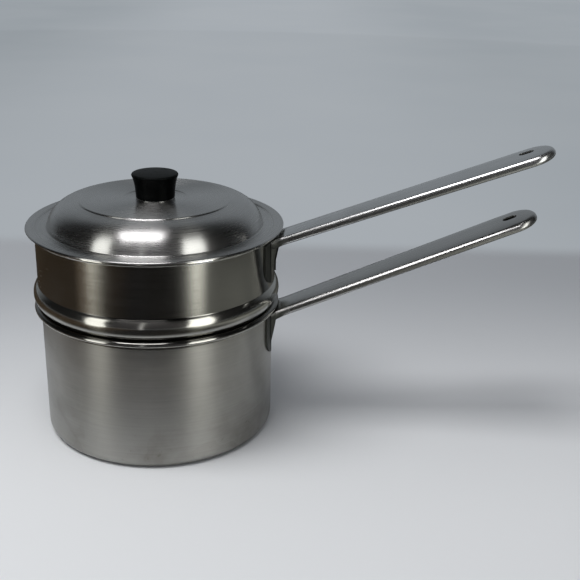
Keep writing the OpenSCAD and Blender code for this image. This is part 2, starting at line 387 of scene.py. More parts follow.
@dataclass(frozen=True)
class SteelFinish:
    """Polished or satin stainless steel, with polishing lines, smears and wear, and painted shade under a
    handle's channel and on its bracket where these are given.
    """

    name: str
    tone: Colour
    worn_tone: Colour
    roughness: float
    grain: Grain
    stretch: float = 0.0
    line_depth: float = 6.0e-7
    wave_depth: float = 6.0e-6
    stain: float = 0.3
    stain_low: float = -1.0
    turn: float = 0.0
    tilt: float = 0.0
    bands: tuple[Band, ...] = ()
    hollow: ChannelShade | None = None
    bracket_shade: BracketShade | None = None
    coarse_pitch: float = 900.0
    fine_pitch: float = 3600.0

    def _frame(self, g: Graph) -> Value:
        """Returns coordinates turned so that X runs along a handle.

        Args:
            g: The material's graph.

        Returns:
            The turned coordinates, or the plain ones where the grain runs round.
        """
        if self.grain is not Grain.ALONG:
            return g.place()
        return g.turn(g.turn(g.place(), "Z", -self.turn), "Y", self.tilt)

    def _lines(self, g: Graph, place: Value, pitch: float) -> Value:
        """Returns fine polishing lines.

        Args:
            g: The material's graph.
            place: The coordinates to read.
            pitch: How many lines there are in a metre.

        Returns:
            Noise drawn out along the way that the lines run.
        """
        x, y, z = g.split(place)
        if self.grain is Grain.ALONG:
            along = g.join(x * (pitch * 0.012), y * pitch, z * pitch)
            return g.node("ShaderNodeTexNoise", {}, {"Vector": along, "Scale": 1.0, "Detail": 4.0})
        radius = (x * x + y * y) ** 0.5
        around = g.join(x / radius * 2.2, y / radius * 2.2, z * pitch)
        return g.node(
            "ShaderNodeTexNoise",
            {"noise_dimensions": "4D"},
            {"Vector": around, "W": radius * pitch, "Scale": 1.0, "Detail": 4.0, "Roughness": 0.6},
        )

    def _wear(self, g: Graph, place: Value) -> Value:
        """Returns the wear: smears all over, and spots and rings of dried water near the base.

        Args:
            g: The material's graph.
            place: The coordinates to read.

        Returns:
            0 where the steel is fresh, and up to about 1.
        """
        smear = g.noise(place, 22.0, 4.0, 0.6)
        wear = smear.ease(0.42, 0.75) * self.stain
        if self.stain_low <= 0.0:
            return wear
        spots = g.noise(place, 240.0, 2.0, 0.5).ease(0.66, 0.78)
        rings = g.node(
            "ShaderNodeTexWave",
            {"wave_type": "RINGS", "rings_direction": "SPHERICAL"},
            {"Vector": g.place(), "Scale": 9.0, "Distortion": 14.0, "Detail": 3.0, "Detail Scale": 1.4},
        ).ease(0.86, 0.97)
        low = 1.0 - g.split(g.place())[2].ease(0.0, self.stain_low)
        return wear + low * (spots * 0.45 + rings * 0.22 + smear.ease(0.5, 0.7) * 0.3)

    def build(self) -> bpy.types.Material:
        """Makes the material.

        Returns:
            The material.
        """
        g = Graph.of_material(self.name)
        place = self._frame(g)
        coarse = self._lines(g, place, self.coarse_pitch)
        fine = self._lines(g, place, self.fine_pitch)
        wear = self._wear(g, place)
        rough = self.roughness + (coarse - 0.5) * 0.14 + wear * 0.18
        lines = 1.0 + (coarse - 0.5) * 0.30 + (fine - 0.5) * 0.15
        colour = g.scale(g.blend(wear, self.tone, self.worn_tone), lines)
        for band in self.bands:
            share = band.share(g)
            rough = rough * (1.0 + share * (band.rough - 1.0))
            colour = g.scale(colour, 1.0 + share * (band.tone - 1.0))
        # Painted shade darkens the underside of a handle's channel, which is also made rougher.
        if self.hollow:
            inside = self.hollow.mask(g, place)
            colour = g.blend(inside, colour, self.hollow.tone)
            rough = rough + inside * self.hollow.rough
        # Painted shade on the bracket and its ears, with a painted shadow line in the fold.
        if self.bracket_shade:
            body, fold = self.bracket_shade.masks(g)
            colour = g.blend(fold, g.blend(body, colour, self.bracket_shade.tone), self.bracket_shade.fold_shadow_tone)
            rough = rough + body * self.bracket_shade.rough
        waves = g.bump(g.noise(place, 34.0, 1.0, 0.4), self.wave_depth)
        return g.finish({
            "Base Color": colour,
            "Metallic": 1.0,
            "Roughness": rough,
            "Anisotropic": self.stretch,
            "Anisotropic Rotation": 0.25,
            "Normal": g.bump(coarse * 0.6 + fine * 0.4, self.line_depth, base=waves),
        })


@dataclass(frozen=True)
class PhenolicFinish:
    """Black moulded phenolic resin, satin, a little dusty, and lighter towards the top of its rim."""

    name: str = "black_phenolic"
    tone: Colour = (0.0015, 0.002, 0.002)
    lighter_tone: Colour = (0.010, 0.011, 0.011)
    rim_low: float = 0.1825
    rim_high: float = 0.1858

    def build(self) -> bpy.types.Material:
        """Makes the material.

        Returns:
            The material.
        """
        g = Graph.of_material(self.name)
        place = g.place()
        pores = g.noise(place, 900.0, 3.0)
        dust = g.noise(place, 160.0, 4.0, 0.65).ease(0.5, 0.8)
        # Lighter with dust, and lighter towards the top of the rim.
        lightening = dust * 0.55 + g.split(place)[2].ease(self.rim_low, self.rim_high) * 0.25
        return g.finish({
            "Base Color": g.blend(lightening, self.tone, self.lighter_tone),
            "Roughness": 0.36 + dust * 0.2 + (pores - 0.5) * 0.12,
            "Specular IOR Level": 0.04,
            "Normal": g.bump(pores, 2.5e-5, 0.7),
        })


@dataclass(frozen=True)
class BrassFinish:
    """Turned brass."""

    name: str = "turned_brass"
    tone: Colour = (0.72, 0.50, 0.22)
    dull: Colour = (0.42, 0.28, 0.12)

    def build(self) -> bpy.types.Material:
        """Makes the material.

        Returns:
            The material.
        """
        g = Graph.of_material(self.name)
        place = g.place()
        tarnish = g.noise(place, 300.0, 4.0).ease(0.4, 0.75)
        rings = g.noise(g.join(0.0, 0.0, g.split(place)[2]), 6000.0, 1.0)
        return g.finish({
            "Base Color": g.blend(tarnish, self.tone, self.dull),
            "Metallic": 1.0,
            "Roughness": 0.24 + tarnish * 0.2,
            "Normal": g.bump(rings, 1.5e-5),
        })


@dataclass(frozen=True)
class FloorFinish:
    """A pale table top, darkened towards the back and the left with painted shade, that passes into a glowing
    blue-grey ground further back, with painted shade towards its sides.
    """

    name: str = "pale_table"
    near: Colour = (0.70, 0.71, 0.72)
    far_shaded: Colour = (0.38, 0.395, 0.415)
    ground: Colour = (0.36, 0.39, 0.42)
    ground_sides_shaded: Colour = (0.27, 0.30, 0.325)
    ground_cloud: Colour = (0.44, 0.46, 0.48)
    fold_y: float = 0.39

    def build(self) -> bpy.types.Material:
        """Makes the material.

        Returns:
            The material.
        """
        g = Graph.of_material(self.name)
        place = g.place()
        fibres = g.noise(place, 260.0, 3.0)
        cloud = g.noise(place, 2.2, 2.0)
        side, depth, _ = g.split(place)
        # Painted shade: the table darkens towards the back and towards the left.
        further = (1.0 - side.ease(-0.42, -0.10)) * 0.11
        table = g.blend((depth + further).ease(-0.15, 0.34), self.near, self.far_shaded)
        back = depth.ease(self.fold_y - 0.02, self.fold_y + 0.03)
        # Painted shade: the glowing ground darkens towards its sides.
        side_shade = side.ease(0.10, 0.70) * 0.55 + (1.0 - side.ease(-0.8, -0.2)) * 0.75
        ground = g.blend(side_shade, self.ground, self.ground_sides_shaded)
        glow = g.blend(cloud.ease(0.3, 0.7) * 0.12, ground, self.ground_cloud)
        return g.finish({
            "Base Color": g.blend(back, table, (0.02, 0.02, 0.02)),
            "Emission Color": g.blend(back, (0.0, 0.0, 0.0), glow),
            "Emission Strength": 1.0,
            "Roughness": 0.6,
            "Specular IOR Level": 0.1,
            "Normal": g.bump(fibres, 1.0e-4, 0.4),
        })


@dataclass(frozen=True)
class RingFinish:
    """The dark ring that the pans mirror, with two pale sectors and a paler right-hand side."""

    name: str = "dark_ring"
    dark: Colour = (0.012, 0.012, 0.013)
    dark_warm: Colour = (0.030, 0.026, 0.020)
    left: Colour = (0.058, 0.042, 0.027)
    right_near: Colour = (0.42, 0.42, 0.38)
    right_far: Colour = (0.10, 0.10, 0.088)
    olive: Colour = (0.10, 0.10, 0.085)
    pale: Colour = (1.3, 1.3, 1.2)

    @staticmethod
    def _sector(x: Value, y: Value, tip: Point, azimuth: float, half: float) -> Value:
        """Fades in a sector of the ring.

        Args:
            x: How far along X a point lies.
            y: How far along Y it lies.
            tip: The sector's tip.
            azimuth: The direction of its middle, in degrees.
            half: Half its angle, in degrees.

        Returns:
            1 inside the sector and 0 outside it.
        """
        cos, sin = math.cos(math.radians(azimuth)), math.sin(math.radians(azimuth))
        along = (x - tip[0]) * cos + (y - tip[1]) * sin
        across = (y - tip[1]) * cos - (x - tip[0]) * sin
        edge = math.tan(math.radians(half))
        ratio = (across * across) ** 0.5 / along
        return (1.0 - ratio.ease(edge * 0.25, edge * 1.2)) * along.ease(0.0, 0.02)

    def build(self) -> bpy.types.Material:
        """Makes the material.

        Returns:
            The material.
        """
        g = Graph.of_material(self.name)
        place = g.place()
        x, y, _ = g.split(place)
        reach = (x * x + y * y) ** 0.5
        wide = ((x * x) ** 0.5).ease(0.03, 0.14)
        sectors = self._sector(x, y, (-0.040, -0.076), -139.0, 11.0)
        sectors = sectors + self._sector(x, y, (0.035, -0.078), -43.5, 12.0)
        glow = g.blend(reach.ease(0.50, 0.69), self.olive, self.pale)
        dark = g.blend(g.noise(place, 4.0).ease(0.3, 0.8), self.dark, self.dark_warm)
        left = g.blend(x.ease(-0.30, -0.08), self.left, dark)
        right = g.blend(reach.ease(0.40, 0.50), self.right_near, self.right_far)
        return g.finish({
            "Base Color": g.blend(x.ease(0.10, 0.40), left, right),
            "Emission Color": g.blend(sectors, (0.0, 0.0, 0.0), glow),
            "Emission Strength": 1.0,
            "Roughness": 0.9,
            "Specular IOR Level": 0.0,
            "Alpha": (reach * (1.0 - y.ease(-0.16, 0.02) * 0.34 - wide * 0.07)).ease(0.10, 0.168),
        })


# Meshes


@dataclass(frozen=True)
class Bend:
    """One bend of a sheet's middle line, or an end of it where the radius is 0.

    The centre, the middle radius, and the headings on the way in and out, in degrees.
    """

    x: float
    z: float
    radius: float
    enter: float
    leave: float

    def points(self, offset: float, step: float = 6.0, count: int = 0) -> list[Point]:
        """Places points along the bend.

        Args:
            offset: How far to the right of the middle line they lie.
            step: The largest turn between two points, in degrees.
            count: A fixed number of steps, or 0 to work it out from the turn.

        Returns:
            The points from the way in to the way out.
        """
        side = 1 if self.leave >= self.enter else -1
        turn = self.leave - self.enter
        steps = count or (math.ceil(abs(turn) / step) if turn else 0)
        radius = self.radius + offset * side
        angles = [math.radians(self.enter + turn * i / max(steps, 1) - 90 * side) for i in range(steps + 1)]
        return [(self.x + radius * math.cos(a), self.z + radius * math.sin(a)) for a in angles]


def hold(points: list[Point], edge: float = 0.0006, span: float = 0.003) -> list[Point]:
    """Adds a point near each end of every long straight, so that smooth shading leaves the straight flat.

    Args:
        points: An outline.
        edge: How far from its ends the added points lie.
        span: The shortest straight that gets them.

    Returns:
        The outline with the added points.
    """
    out = [points[0]]
    for a, b in zip(points, points[1:]):
        length = math.dist(a, b)
        if length > span:
            for share in (edge / length, 1 - edge / length):
                out.append((a[0] + (b[0] - a[0]) * share, a[1] + (b[1] - a[1]) * share))
        out.append(b)
    return out


def sheet_outline(path: list[Bend], thickness: float) -> list[Point]:
    """Gives a bent sheet its two faces.

    Args:
        path: The bends of its middle line.
        thickness: The sheet's thickness.

    Returns:
        The outline, along the right-hand face and back along the left-hand one.
    """
    right = [p for bend in path for p in bend.points(thickness / 2)]
    left = [p for bend in path for p in bend.points(-thickness / 2)]
    return hold(right) + hold(left[::-1])


def soften(bm: bmesh.types.BMesh, angle: float = 32.0) -> None:
    """Shades a mesh smooth, but keeps its real corners sharp.

    Args:
        bm: The mesh.
        angle: From which angle between two faces, in degrees, their edge stays sharp.
    """
    for face in bm.faces:
        face.smooth = True
    for edge in bm.edges:
        if len(edge.link_faces) == 2:
            edge.smooth = edge.calc_face_angle(0.0) < math.radians(angle)


def revolve(outline: list[Point], steps: int = 240) -> bmesh.types.BMesh:
    """Spins an outline round the vertical axis.

    Args:
        outline: Points as radius and height. It closes on itself, or along the axis.
        steps: How many steps the turn has.

    Returns:
        A closed mesh.
    """
    bm = bmesh.new()
    verts = [bm.verts.new((x, 0.0, z)) for x, z in outline]
    pairs = list(zip(verts, verts[1:]))
    if outline[0][0] > 1e-6 or outline[-1][0] > 1e-6:
        pairs.append((verts[-1], verts[0]))
    edges = [bm.edges.new(pair) for pair in pairs]
    bmesh.ops.spin(
        bm, geom=verts + edges, cent=(0, 0, 0), axis=(0, 0, 1), angle=math.tau, steps=steps, use_merge=True
    )
    bmesh.ops.remove_doubles(bm, verts=bm.verts, dist=2e-7)
    bmesh.ops.recalc_face_normals(bm, faces=bm.faces)
    soften(bm)
    return bm


def merge(target: bmesh.types.BMesh, extra: bmesh.types.BMesh) -> None:
    """Adds one mesh to another and frees it.

    Args:
        target: The mesh that grows.
        extra: The mesh that is added. It is freed.
    """
    held = bpy.data.meshes.new("held")
    extra.to_mesh(held)
    extra.free()
    target.from_mesh(held)
    bpy.data.meshes.remove(held)


def cut(bm: bmesh.types.BMesh, tool: bmesh.types.BMesh) -> bmesh.types.BMesh:
    """Cuts one closed mesh out of another.

    Args:
        bm: The mesh that is cut. It is freed.
        tool: The mesh that cuts. It is freed.

    Returns:
        The cut mesh.
    """
    pair = []
    for name, source in (("work", bm), ("tool", tool)):
        mesh = bpy.data.meshes.new(name)
        source.to_mesh(mesh)
        source.free()
        made = bpy.data.objects.new(name, mesh)
        bpy.context.scene.collection.objects.link(made)
        pair.append(made)
    work, cutter = pair
    boolean = work.modifiers.new("cut", "BOOLEAN")
    boolean.operation, boolean.solver, boolean.object = "DIFFERENCE", "EXACT", cutter
    graph = bpy.context.evaluated_depsgraph_get()
    out = bmesh.new()
    out.from_mesh(work.evaluated_get(graph).to_mesh())
    for made in pair:
        mesh = made.data
        bpy.data.objects.remove(made)
        bpy.data.meshes.remove(mesh)
    soften(out)
    return out


def add_piece(
    name: str, bm: bmesh.types.BMesh, material: bpy.types.Material, body: Body, slot: str, node: str
) -> bpy.types.Object:
    """Turns a mesh into a finished piece.

    Args:
        name: The piece's name.
        bm: Its mesh, in the row frame. It is freed.
        material: Its finish.
        body: The body it moves with.
        slot: The record's material slot. Not used.
        node: The CAD node that it stands for.

    Returns:
        The piece.
    """
    mesh = bpy.data.meshes.new(name)
    bm.to_mesh(mesh)
    bm.free()
    mesh.materials.append(material)
    piece = bpy.data.objects.new(name, mesh)
    bpy.context.scene.collection.objects.link(piece)
    shading = piece.modifiers.new("even_shading", "WEIGHTED_NORMAL")
    shading.keep_sharp = True
    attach(piece, body.value)
    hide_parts(node)
    log.info("%s: %d faces on %s", name, len(mesh.polygons), body.value)
    return piece


# Sub-assemblies. Sizes are in metres and follow part.scad.


@dataclass(kw_only=True)
class SheetPart:
    """A round part of bent sheet, spun round the vertical axis."""

    node: str
    body: Body
    sheet: float
    finish: SteelFinish
    steps: int = 240

    def path(self) -> list[Bend]:
        """Returns the bends of the sheet's middle line, from the axis to its outer end."""
        raise NotImplementedError

    def build(self) -> bpy.types.Object:
        """Builds and dresses the part.

        Returns:
            The piece.
        """
        bm = revolve(sheet_outline(self.path(), self.sheet), self.steps)
        return add_piece(
            f"{self.node}_shell", bm, self.finish.build(), self.body, f"{self.node}_steel", self.node
        )


@dataclass(kw_only=True)
class Pan(SheetPart):
    """What both pans share: a straight wall that ends in a rolled rim with a tighter curl."""

    wall_r: float
    rim_w: float
    curl: float
    sheet: float = 0.0009
    rim_end: float = -75.0
    curl_end: float = -165.0

    @property
    def roll(self) -> float:
        """Middle radius of the rolled rim."""
        return self.rim_w / 2

    @property
    def roll_x(self) -> float:
        """Distance of the roll's middle from the axis."""
        return self.wall_r - self.sheet / 2 + self.roll

    @property
    def roll_z(self) -> float:
        """Height of the roll's middle."""
        return self.height - self.roll - self.sheet / 2

    def rim(self) -> list[Bend]:
        """Returns the bends of the rolled rim and of the curl that ends it.

        Returns:
            The two bends.
        """
        angle = math.radians(90 + self.rim_end)
        curl_x = self.roll_x + (self.roll - self.curl) * math.cos(angle)
        curl_z = self.roll_z + (self.roll - self.curl) * math.sin(angle)
        return [
            Bend(self.roll_x, self.roll_z, self.roll, 90, self.rim_end),
            Bend(curl_x, curl_z, self.curl, self.rim_end, self.curl_end),
        ]


@dataclass(kw_only=True)
class LowerPan(Pan):
    """The lower pan: base, corner, straight wall and rolled rim."""

    node: str = "lower_pan"
    body: Body = Body.LOWER
    wall_r: float = 0.0818
    height: float = 0.0953
    rim_w: float = 0.0045
    curl: float = 0.0009
    corner: float = 0.0056
    finish: SteelFinish = SteelFinish(
        "lower_pan_steel", (0.355, 0.35, 0.33), (0.24, 0.23, 0.205), 0.38, Grain.ROUND, 0.75,
        line_depth=7.0e-7, wave_depth=8.0e-6, stain=0.35, stain_low=0.045,
        # The steel is darker towards the bottom, up to 85 mm, and smoother from 89.5 mm; the top of the
        # rolled rim, under the upper pan's bead, is darkened with painted shade.
        bands=(Band(0.010, 0.085, 1.55), Band(0.0880, 0.0895, 0.95, 0.40), Band(0.0934, 0.0942, 0.42)),
    )

    def path(self) -> list[Bend]:
        """Returns the bends from the middle of the base to the end of the rim.

        Returns:
            The bends in order.
        """
        middle = self.wall_r - self.sheet / 2
        return [
            Bend(0.0, self.sheet / 2, 0.0, 0, 0),
            Bend(middle - self.corner, self.sheet / 2 + self.corner, self.corner, 0, 90),
            *self.rim(),
        ]


@dataclass(kw_only=True)
class UpperPan(Pan):
    """The upper pan: hidden cup, seat cone, bead, wall and rolled rim."""

    below: LowerPan
    node: str = "upper_pan"
    body: Body = Body.INSERT
    wall_r: float = 0.0831
    rise: float = 0.0543
    rim_w: float = 0.0031
    curl: float = 0.00085
    cup_gap: float = 0.0013
    cup_depth: float = 0.0493
    bead_arc: float = 0.0094
    bead_r: float = 0.0864
    seat_angle: float = 50.0
    rest_gap: float = 0.0003
    crease: float = 0.0015
    neck: float = 0.0025
    finish: SteelFinish = SteelFinish(
        "upper_pan_steel", (0.36, 0.355, 0.33), (0.25, 0.235, 0.215), 0.165, Grain.ROUND, 0.72,
        line_depth=6.0e-7, wave_depth=8.0e-6, stain=0.22,
        bands=(
            # The steel is darker below 100 mm, on the bead's underside.
            Band(0.1000, 0.1016, 1.45),
            # In front only, the crease above the bead, from about 108.8 to 110.9 mm, is darkened with painted
            # shade.
            Band(0.1088, 0.1096, 0.10, front=0.0755),
            Band(0.1106, 0.1109, 10.0, front=0.0755),
            Band(0.1098, 0.1112, 0.56, 1.3),
            Band(0.1450, 0.1456, 1.8, 0.75),
        ),
    )

    @property
    def height(self) -> float:
        """Height of the top of the rim."""
        return self.below.height + self.rise

    def path(self) -> list[Bend]:
        """Returns the bends from the middle of the cup's base to the end of the rim.

        Returns:
            The bends in order.
        """
        half = self.sheet / 2
        wall = self.wall_r - half
        cup = self.below.wall_r - self.below.sheet - self.cup_gap - half
        floor = self.below.height - self.cup_depth
        corner = self.below.corner
        lean = math.radians(self.seat_angle)
        bead_x = self.bead_r - self.bead_arc
        bead_mid = self.bead_arc - half
        reach = self.below.roll + half + self.rest_gap + self.bead_arc
        bead_z = self.below.roll_z + (reach - math.cos(lean) * (self.below.roll_x - bead_x)) / math.sin(lean)
        outer = bead_mid + self.crease
        top = math.acos((wall + self.crease - bead_x) / outer)
        top_deg = math.degrees(top)
        seat_out = bead_x + bead_mid * math.cos(lean) - cup
        along = (seat_out - self.neck * (1 - math.cos(lean))) / math.sin(lean)
        neck_z = bead_z - bead_mid * math.sin(lean) - along * math.cos(lean) - self.neck * math.sin(lean)
        return [
            Bend(0.0, floor + half, 0.0, 0, 0),
            Bend(cup - corner, floor + half + corner, corner, 0, 90),
            Bend(cup + self.neck, neck_z, self.neck, 90, 90 - self.seat_angle),
            Bend(bead_x, bead_z, bead_mid, 90 - self.seat_angle, 90 + top_deg),
            Bend(wall + self.crease, bead_z + outer * math.sin(top), self.crease, 90 + top_deg, 90),
            *self.rim(),
        ]


@dataclass(kw_only=True)
class Lid(SheetPart):
    """The lid: turned edge, flange, centring step, band, dome, crease, flat top and a ring round the knob."""

    below: UpperPan
    node: str = "lid"
    body: Body = Body.COVER
    steps: int = 288
    edge_r: float = 0.0890
    step: float = 0.0009
    dome_r: float = 0.0750
    lean: float = 18.0
    side_h: float = 0.0020
    shoulder: float = 0.0190
    slope: float = 10.0
    crease_r: float = 0.0525
    ring_r: float = 0.0220
    ring_depth: float = 0.0005
    hole_r: float = 0.0024
    small_bend: float = 0.0009
    edge_bend: float = 0.0007
    base_bend: float = 0.0014
    ring_bend: float = 0.0016
    crease_turn: float = 60.0
    sheet: float = 0.0008
    finish: SteelFinish = SteelFinish(
        "lid_steel", (0.52, 0.52, 0.51), (0.36, 0.36, 0.35), 0.27, Grain.ROUND, 0.92,
        line_depth=6.0e-7, wave_depth=8.0e-6, stain=0.22,
    )
    seat_z: float = field(init=False, default=0.0)

    def path(self) -> list[Bend]:
        """Returns the bends from the screw's hole out to the turned edge.

        Returns:
            The bends in order.
        """
        flange_z = self.below.height + self.below.rest_gap + self.sheet / 2
        band_z = flange_z - self.step
        small, edge, base = self.small_bend, self.edge_bend, self.base_bend
        step_turn = math.acos(1 - self.step / (2 * small))
        step_x = self.below.roll_x - 0.0017
        edge_x = self.edge_r - self.sheet / 2 - edge
        base_x, base_z = self.dome_r + 0.0008, band_z + base
        down = -(90 - self.lean)
        side_x0 = base_x + base * math.cos(math.radians(down - 90))
        side_z0 = base_z + base * math.sin(math.radians(down - 90))
        side_z1 = side_z0 + self.side_h
        lean, slope = math.radians(self.lean), math.radians(self.slope)
        side_x1 = side_x0 - (side_z1 - side_z0) * math.tan(lean)
        shoulder_x = side_x1 - self.shoulder * math.cos(lean)
        shoulder_z = side_z1 - self.shoulder * math.sin(lean)
        slope_x = shoulder_x + self.shoulder * math.sin(slope)
        slope_z = shoulder_z + self.shoulder * math.cos(slope)
        turn = math.radians(self.crease_turn)
        foot_x = self.crease_r + 0.0006
        foot_z = slope_z + (slope_x - foot_x) * math.tan(slope)
        foot_cx, foot_cz = foot_x + small * math.sin(slope), foot_z + small * math.cos(slope)
        brow_x, brow_z = foot_cx - 2 * small * math.sin(turn), foot_cz - 2 * small * math.cos(turn)
        top_z = brow_z + small
        ring_bend = self.ring_bend
        ring_turn = math.acos(1 - self.ring_depth / (2 * ring_bend))
        ring_in = ring_bend * math.sin(ring_turn)
        self.seat_z = top_z - self.ring_depth
        step_in = small * math.sin(step_turn)
        step_deg, ring_deg = math.degrees(step_turn), math.degrees(ring_turn)
        return [
            Bend(self.hole_r, self.seat_z, 0.0, 0, 0),
            Bend(self.ring_r - ring_in, self.seat_z + ring_bend, ring_bend, 0, ring_deg),
            Bend(self.ring_r + ring_in, top_z - ring_bend, ring_bend, ring_deg, 0),
            Bend(brow_x, brow_z, small, 0, -self.crease_turn),
            Bend(foot_cx, foot_cz, small, -self.crease_turn, -self.slope),
            Bend(shoulder_x, shoulder_z, self.shoulder, -self.slope, down),
            Bend(base_x, base_z, base, down, 0),
            Bend(step_x - step_in, band_z + small, small, 0, step_deg),
            Bend(step_x + step_in, flange_z - small, small, step_deg, 0),
            Bend(edge_x, flange_z - edge, edge, 0, -80),
        ]


@dataclass
class Knob:
    """The knob with its brass bush, collar, screw and washers."""

    lid: Lid
    top_r: float = 0.0161
    foot_r: float = 0.0134
    height: float = 0.0178
    collar: float = 0.0006
    screw_r: float = 0.0020
    bush_r: float = 0.0035
    bush_h: float = 0.0100
    washer_r: float = 0.0062
    washer_h: float = 0.0009
    lock_r: float = 0.0039
    lock_h: float = 0.0011
    head_r: float = 0.0041
    head_h: float = 0.0025
    thread_pitch: float = 0.0008
    thread_depth: float = 0.00022

    @property
    def foot_z(self) -> float:
        """Height of the knob's foot."""
        return self.lid.seat_z + self.lid.sheet / 2 + self.collar

    def outline(self) -> list[Point]:
        """Returns the knob's section, with its hollow side, rounded top edge and recessed underside.

        Returns:
            Points as radius and height, from the axis round to the axis.
        """
        foot, edge, rise, soft = self.foot_z, 0.0013, 0.0007, 0.0003
        top = foot + self.height - rise
        flank = []
        for i in range(1, 25):
            u = i / 24
            out = self.foot_r + (self.top_r - self.foot_r) * (0.25 * u + 0.75 * u ** 3)
            flank.append((out, foot + (self.height - 0.002) * u))
        turns = [math.radians(a) for a in range(6, 91, 7)]
        round_edge = [
            (self.top_r - edge + edge * math.cos(a), top - edge + edge * math.sin(a)) for a in turns
        ]
        shares = (0.8, 0.65, 0.5, 0.35, 0.2, 0.08)
        crown = [(self.top_r * share, top + rise * (1 - share ** 2)) for share in shares]
        recess_in, recess_out, recess_top = self.bush_r + 0.003, self.foot_r - 0.0029, foot + 0.0055
        under = [
            (self.bush_r, foot + self.bush_h), (self.bush_r, foot), (recess_in - soft, foot),
            (recess_in, foot + soft), (recess_in, recess_top), (recess_out - soft, recess_top),
            (recess_out, foot + soft), (recess_out + soft, foot), (self.foot_r - 0.0004, foot),
            (self.foot_r - 0.0001, foot + 0.0002),
        ]
        return [(0.0, foot + self.bush_h)] + under + flank + round_edge + crown + [(0.0, foot + self.height)]

    @staticmethod
    def _washer(
        inner: float, outer: float, low: float, high: float, soft: float = 0.00008
    ) -> bmesh.types.BMesh:
        """Makes a flat ring with slightly rounded edges.

        Args:
            inner: Its inner radius.
            outer: Its outer radius.
            low: Where it starts.
            high: Where it ends.
            soft: How far its outer edges are broken.

        Returns:
            A closed mesh.
        """
        return revolve([
            (inner, low), (outer - soft, low), (outer, low + soft),
            (outer, high - soft), (outer - soft, high), (inner, high),
        ], 96)

    def _screw(self, head_z: float, end_z: float) -> bmesh.types.BMesh:
        """Makes the screw: slotted pan head, and a shank with a thread's ridges.

        Args:
            head_z: Where its head starts.
            end_z: Where its shank ends.

        Returns:
            A closed mesh.
        """
        head_r, head_top, edge = self.head_r, head_z + self.head_h, 0.0016
        outline: list[Point] = [(0.0, head_z)]
        for a in range(-60, 1, 10):
            angle = math.radians(a)
            outline.append((head_r - edge + edge * math.cos(angle), head_z + 0.0014 + edge * math.sin(angle)))
        outline += [(head_r, head_top), (self.screw_r, head_top)]
        z = head_top + 0.001
        while z + self.thread_pitch < end_z:
            outline += [(self.screw_r, z), (self.screw_r - self.thread_depth, z + self.thread_pitch / 2)]
            z += self.thread_pitch
        outline += [(self.screw_r, z), (self.screw_r - 0.0005, end_z), (0.0, end_z)]
        return cut(revolve(outline, 96), self._block((0.010, 0.0011, 0.0024), (0, 0, head_z)))

    @staticmethod
    def _block(size: Place, middle: Place, lean: float = 0.0) -> bmesh.types.BMesh:
        """Makes a block that cuts a slot.

        Args:
            size: Its three sizes.
            middle: Where its middle lies.
            lean: How far it leans about X, in degrees.

        Returns:
            A closed mesh.
        """
        bm = bmesh.new()
        bmesh.ops.create_cube(bm, size=1.0)
        bmesh.ops.scale(bm, vec=size, verts=bm.verts)
        leant = Matrix.Rotation(math.radians(lean), 3, "X")
        bmesh.ops.rotate(bm, cent=(0, 0, 0), matrix=leant, verts=bm.verts)
        bmesh.ops.translate(bm, vec=middle, verts=bm.verts)
        return bm

    def build(self) -> list[bpy.types.Object]:
        """Builds and dresses the knob and what holds it.

        Returns:
            The pieces.
        """
        steel = SteelFinish(
            "fixing_steel", (0.60, 0.60, 0.59), (0.36, 0.35, 0.33), 0.26, Grain.ROUND, 0.4,
            line_depth=6.0e-7, wave_depth=3.0e-6, stain=0.3,
        ).build()
        foot, hole = self.foot_z, self.screw_r + 0.0004
        washer_z = self.lid.seat_z - self.lid.sheet / 2 - self.washer_h
        lock_z = washer_z - self.lock_h
        grip = revolve(hold(self.outline(), 0.0004, 0.002), 160)
        bush = self._washer(self.screw_r, self.bush_r, foot, foot + self.bush_h)
        collar = self._washer(hole, self.foot_r - 0.0007, foot - self.collar, foot, 0.0002)
        screw = self._screw(lock_z - self.head_h, foot + 0.0075)
        flat = self._washer(hole, self.washer_r, washer_z, washer_z + self.washer_h)
        lock = self._washer(self.screw_r + 0.00015, self.lock_r, lock_z, lock_z + self.lock_h)
        split = cut(lock, self._block((0.005, 0.0008, 0.006), (0.0027, 0, lock_z + 0.0005), 20.0))
        parts = (
            ("knob_grip", grip, PhenolicFinish().build(), "knob_black", "knob"),
            ("knob_brass_bush", bush, BrassFinish().build(), "bush_brass", "knob_bush"),
            ("knob_foot_collar", collar, steel, "fixing_steel", "knob_collar"),
            ("knob_fixing_screw", screw, steel, "fixing_steel", "knob_screw"),
            ("flat_washer", flat, steel, "fixing_steel", "screw_washer"),
            ("split_washer", split, steel, "fixing_steel", "lock_washer"),
        )
        return [add_piece(name, bm, look, Body.COVER, slot, node) for name, bm, look, slot, node in parts]


